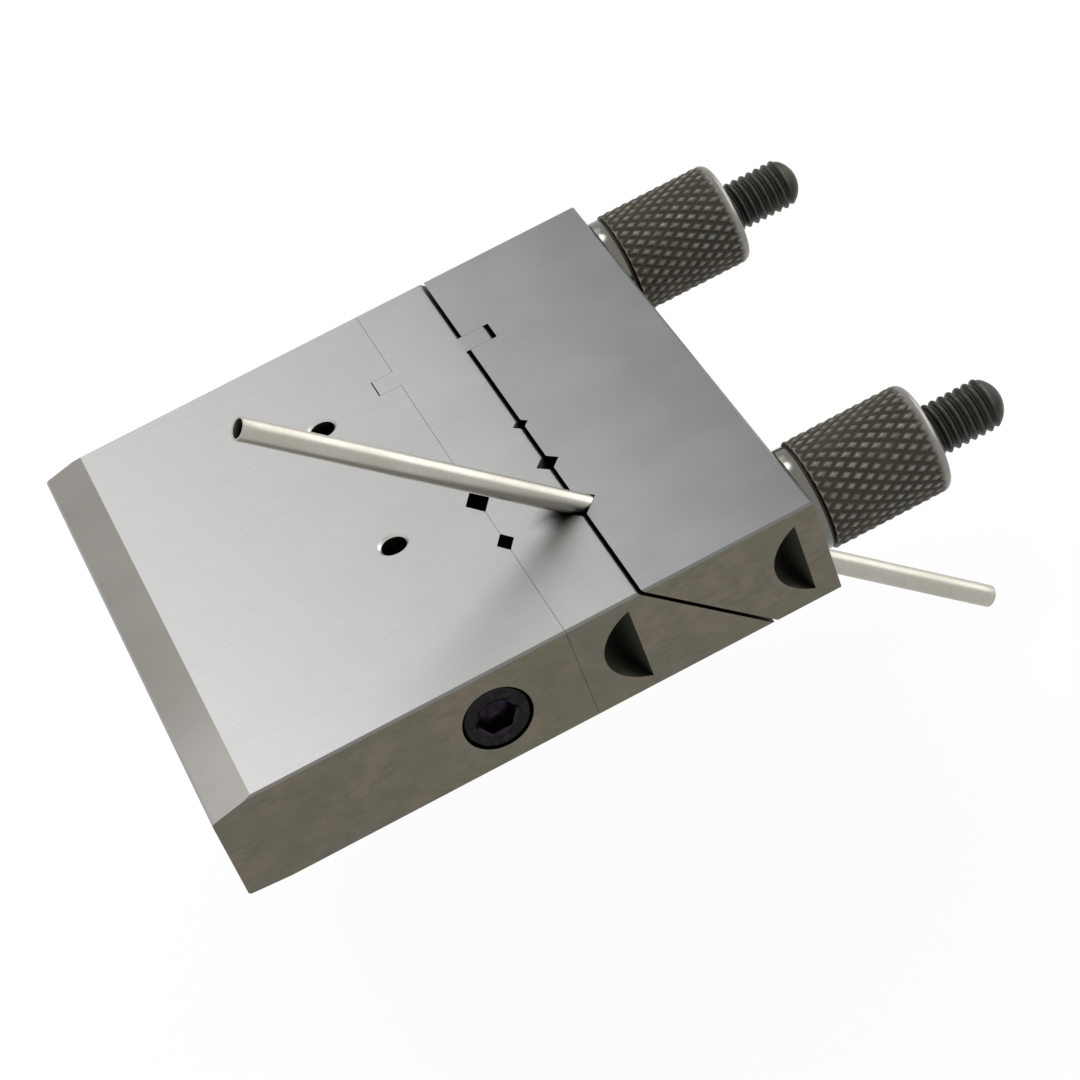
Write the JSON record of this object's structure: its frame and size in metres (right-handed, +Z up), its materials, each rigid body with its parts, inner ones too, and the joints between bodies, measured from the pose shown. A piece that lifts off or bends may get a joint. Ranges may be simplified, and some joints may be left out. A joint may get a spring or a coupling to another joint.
{
  "type": "miter cutting jig",
  "caption": "Ground steel jig whose blocks close on studs under knurled nuts, gripping tube or wire in V grooves for square and 45 degree cuts.",
  "frame": {"origin": "centre of the underside of the steel blocks", "axes": "+X from the bevelled end towards the knurled nuts, +Y from the front side to the rear side, +Z up out of the top face"},
  "size_m": [0.096, 0.0676, 0.072],
  "materials": {
    "ground_steel": "ground, matt",
    "knurled_steel": "knurled, dark",
    "black_oxide": "black oxide",
    "silver_tube": "bright drawn silver"
  },
  "bodies": {
    "base": {"base_block": "ground_steel", "front_stud": "black_oxide", "rear_stud": "black_oxide", "front_lock_screw": "black_oxide", "rear_lock_screw": "black_oxide"},
    "middle_jaw": {"middle_jaw": "ground_steel"},
    "outer_jaw": {"outer_jaw": "ground_steel"},
    "front_nut": {"front_nut": "knurled_steel"},
    "rear_nut": {"rear_nut": "knurled_steel"},
    "stock_tube": {"stock_tube": "silver_tube"}
  },
  "joints": [
    {"name": "outer_jaw_slide", "type": "slide", "parent": "base", "child": "outer_jaw", "axis": [1, 0, 0], "range_m": [0, 0.008]},
    {"name": "middle_jaw_slide", "type": "slide", "parent": "base", "child": "middle_jaw", "axis": [1, 0, 0], "range_m": [0, 0.004]},
    {"name": "front_nut_turn", "type": "hinge", "parent": "outer_jaw", "child": "front_nut", "pos_m": [0.04331, -0.0253, 0.00635], "axis": [1, 0, 0], "range_deg": [0, 2880]},
    {"name": "rear_nut_turn", "type": "hinge", "parent": "outer_jaw", "child": "rear_nut", "pos_m": [0.04331, 0.0274, 0.00635], "axis": [1, 0, 0], "range_deg": [0, 2880]},
    {"name": "stock_tube_slide", "type": "slide", "parent": "middle_jaw", "child": "stock_tube", "axis": [-0.7071, 0, 0.7071], "range_m": [-0.02, 0.02]}
  ],
  "couplings": [
    {"joint": "middle_jaw_slide", "follows": "outer_jaw_slide", "ratio": 0.5},
    {"joint": "front_nut_turn", "follows": "outer_jaw_slide", "rad_per_m": 6283.2},
    {"joint": "rear_nut_turn", "follows": "outer_jaw_slide", "rad_per_m": 6283.2}
  ]
}
